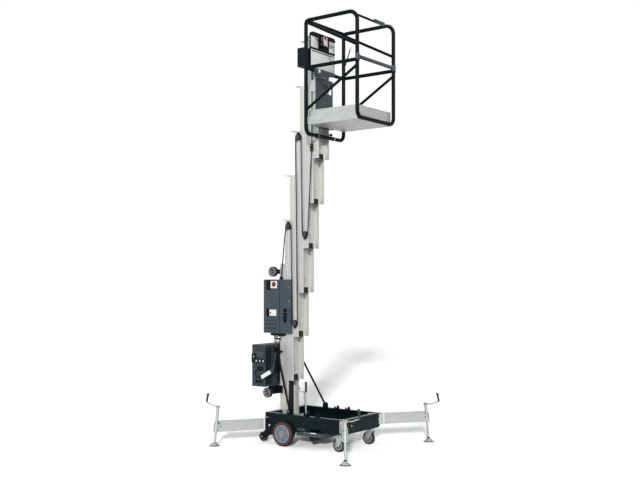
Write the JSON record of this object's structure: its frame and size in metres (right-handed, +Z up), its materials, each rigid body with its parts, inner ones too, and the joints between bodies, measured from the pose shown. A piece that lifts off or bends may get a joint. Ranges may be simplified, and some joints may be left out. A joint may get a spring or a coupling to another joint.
{
  "type": "vertical mast lift",
  "caption": "Push-around vertical mast lift: nested telescoping mast, guarded work platform, wheeled chassis and outriggers with screw jacks.",
  "frame": {"origin": "on the floor, midway between the four outrigger jacks", "axes": "+X from the mast towards the work platform, +Y to the machine's left, +Z up"},
  "size_m": [2.008, 1.688, 4.497],
  "materials": {
    "black_paint": "satin",
    "mast_aluminium": "satin",
    "plate_aluminium": "satin",
    "zinc_steel": "satin",
    "grey_steel": "satin",
    "nylon": "matt",
    "slate_plastic": "textured",
    "black_plastic": "matt",
    "brown_rubber": "matt",
    "hub_grey": "satin"
  },
  "bodies": {
    "chassis": {"chassis_frame": "black_paint", "outrigger_beams": "plate_aluminium", "jack_tubes": "zinc_steel", "jack_cranks": "zinc_steel", "mast_base": "mast_aluminium", "mast_struts": "black_paint", "power_unit": "slate_plastic", "power_cheek": "slate_plastic", "connectors": "black_plastic", "rail_clips": "black_paint", "under_tray": "slate_plastic", "socket_pins": "zinc_steel", "battery_panel": "black_plastic", "battery_pack": "slate_plastic", "battery_hanger": "black_paint", "loading_brackets": "black_paint", "rear_axle": "zinc_steel", "tilt_brackets": "black_paint", "caster_plates": "zinc_steel", "brake_lever": "zinc_steel"},
    "section_1": {"mast_section_1": "mast_aluminium", "section_fittings_1": "nylon"},
    "section_2": {"mast_section_2": "mast_aluminium", "section_fittings_2": "nylon"},
    "section_3": {"mast_section_3": "mast_aluminium", "section_fittings_3": "nylon"},
    "section_4": {"mast_section_4": "mast_aluminium", "section_fittings_4": "nylon"},
    "section_5": {"mast_section_5": "mast_aluminium", "section_fittings_5": "nylon"},
    "platform": {"mast_section_6": "mast_aluminium", "section_fittings_6": "nylon", "platform_floor": "plate_aluminium", "guard_panel_right": "black_paint", "guard_panel_left": "black_paint", "cross_rails": "black_paint", "platform_yoke": "black_paint", "mount_plate": "black_paint", "cable_anchor": "zinc_steel", "console": "black_plastic", "rail_bracket": "slate_plastic", "document_box": "black_plastic", "gate_stops": "black_paint"},
    "gate": {"gate_bar": "grey_steel"},
    "jack_rear_right": {"jack_leg_rear_right": "zinc_steel"},
    "jack_rear_left": {"jack_leg_rear_left": "zinc_steel"},
    "jack_front_right": {"jack_leg_front_right": "zinc_steel"},
    "jack_front_left": {"jack_leg_front_left": "zinc_steel"},
    "rear_wheel_right": {"rear_tyre_right": "brown_rubber", "rear_hub_right": "hub_grey"},
    "tilt_wheel_right": {"tilt_wheel_right": "brown_rubber"},
    "caster_swivel_right": {"caster_fork_right": "zinc_steel"},
    "caster_right": {"caster_wheel_right": "brown_rubber"},
    "rear_wheel_left": {"rear_tyre_left": "brown_rubber", "rear_hub_left": "hub_grey"},
    "tilt_wheel_left": {"tilt_wheel_left": "brown_rubber"},
    "caster_swivel_left": {"caster_fork_left": "zinc_steel"},
    "caster_left": {"caster_wheel_left": "brown_rubber"},
    "loading_wheels_low": {"loading_wheels_low": "brown_rubber"},
    "loading_wheels_high": {"loading_wheels_high": "brown_rubber"}
  },
  "joints": [
    {"name": "mast_lift", "type": "slide", "parent": "chassis", "child": "section_1", "axis": [0, 0, 1], "range_m": [-0.473, 0.945]},
    {"name": "mast_slide_2", "type": "slide", "parent": "section_1", "child": "section_2", "axis": [0, 0, 1], "range_m": [-0.473, 0.945]},
    {"name": "mast_slide_3", "type": "slide", "parent": "section_2", "child": "section_3", "axis": [0, 0, 1], "range_m": [-0.473, 0.945]},
    {"name": "mast_slide_4", "type": "slide", "parent": "section_3", "child": "section_4", "axis": [0, 0, 1], "range_m": [-0.473, 0.945]},
    {"name": "mast_slide_5", "type": "slide", "parent": "section_4", "child": "section_5", "axis": [0, 0, 1], "range_m": [-0.473, 0.945]},
    {"name": "mast_slide_6", "type": "slide", "parent": "section_5", "child": "platform", "axis": [0, 0, 1], "range_m": [-0.473, 0.945]},
    {"name": "gate_lift", "type": "slide", "parent": "platform", "child": "gate", "axis": [0, 0, 1], "range_m": [0, 0.3]},
    {"name": "jack_rear_right", "type": "slide", "parent": "chassis", "child": "jack_rear_right", "axis": [0.0484, 0.0725, 0.9962], "range_m": [-0.05, 0.1]},
    {"name": "jack_rear_left", "type": "slide", "parent": "chassis", "child": "jack_rear_left", "axis": [0.0484, -0.0725, 0.9962], "range_m": [-0.05, 0.1]},
    {"name": "jack_front_right", "type": "slide", "parent": "chassis", "child": "jack_front_right", "axis": [-0.0536, 0.0688, 0.9962], "range_m": [-0.05, 0.1]},
    {"name": "jack_front_left", "type": "slide", "parent": "chassis", "child": "jack_front_left", "axis": [-0.0536, -0.0688, 0.9962], "range_m": [-0.05, 0.1]},
    {"name": "rear_wheel_spin_right", "type": "hinge", "parent": "chassis", "child": "rear_wheel_right", "pos_m": [-0.246, -0.377, 0.133], "axis": [0, 1, 0], "continuous": true},
    {"name": "tilt_wheel_spin_right", "type": "hinge", "parent": "chassis", "child": "tilt_wheel_right", "pos_m": [-0.566, -0.319, 0.067], "axis": [0, 1, 0], "continuous": true},
    {"name": "caster_turn_right", "type": "hinge", "parent": "chassis", "child": "caster_swivel_right", "pos_m": [0.444, -0.275, 0.188], "axis": [0, 0, 1], "continuous": true},
    {"name": "caster_spin_right", "type": "hinge", "parent": "caster_swivel_right", "child": "caster_right", "pos_m": [0.41, -0.275, 0.069], "axis": [0, 1, 0], "continuous": true},
    {"name": "rear_wheel_spin_left", "type": "hinge", "parent": "chassis", "child": "rear_wheel_left", "pos_m": [-0.246, 0.377, 0.133], "axis": [0, 1, 0], "continuous": true},
    {"name": "tilt_wheel_spin_left", "type": "hinge", "parent": "chassis", "child": "tilt_wheel_left", "pos_m": [-0.566, 0.319, 0.067], "axis": [0, 1, 0], "continuous": true},
    {"name": "caster_turn_left", "type": "hinge", "parent": "chassis", "child": "caster_swivel_left", "pos_m": [0.444, 0.275, 0.188], "axis": [0, 0, 1], "continuous": true},
    {"name": "caster_spin_left", "type": "hinge", "parent": "caster_swivel_left", "child": "caster_left", "pos_m": [0.41, 0.275, 0.069], "axis": [0, 1, 0], "continuous": true},
    {"name": "loading_wheel_spin_low", "type": "hinge", "parent": "chassis", "child": "loading_wheels_low", "pos_m": [-0.572, 0, 0.533], "axis": [0, 1, 0], "continuous": true},
    {"name": "loading_wheel_spin_high", "type": "hinge", "parent": "chassis", "child": "loading_wheels_high", "pos_m": [-0.566, 0, 1.855], "axis": [0, 1, 0], "continuous": true}
  ],
  "couplings": [
    {"joint": "mast_slide_2", "follows": "mast_lift", "ratio": 1},
    {"joint": "mast_slide_3", "follows": "mast_lift", "ratio": 1},
    {"joint": "mast_slide_4", "follows": "mast_lift", "ratio": 1},
    {"joint": "mast_slide_5", "follows": "mast_lift", "ratio": 1},
    {"joint": "mast_slide_6", "follows": "mast_lift", "ratio": 1}
  ]
}
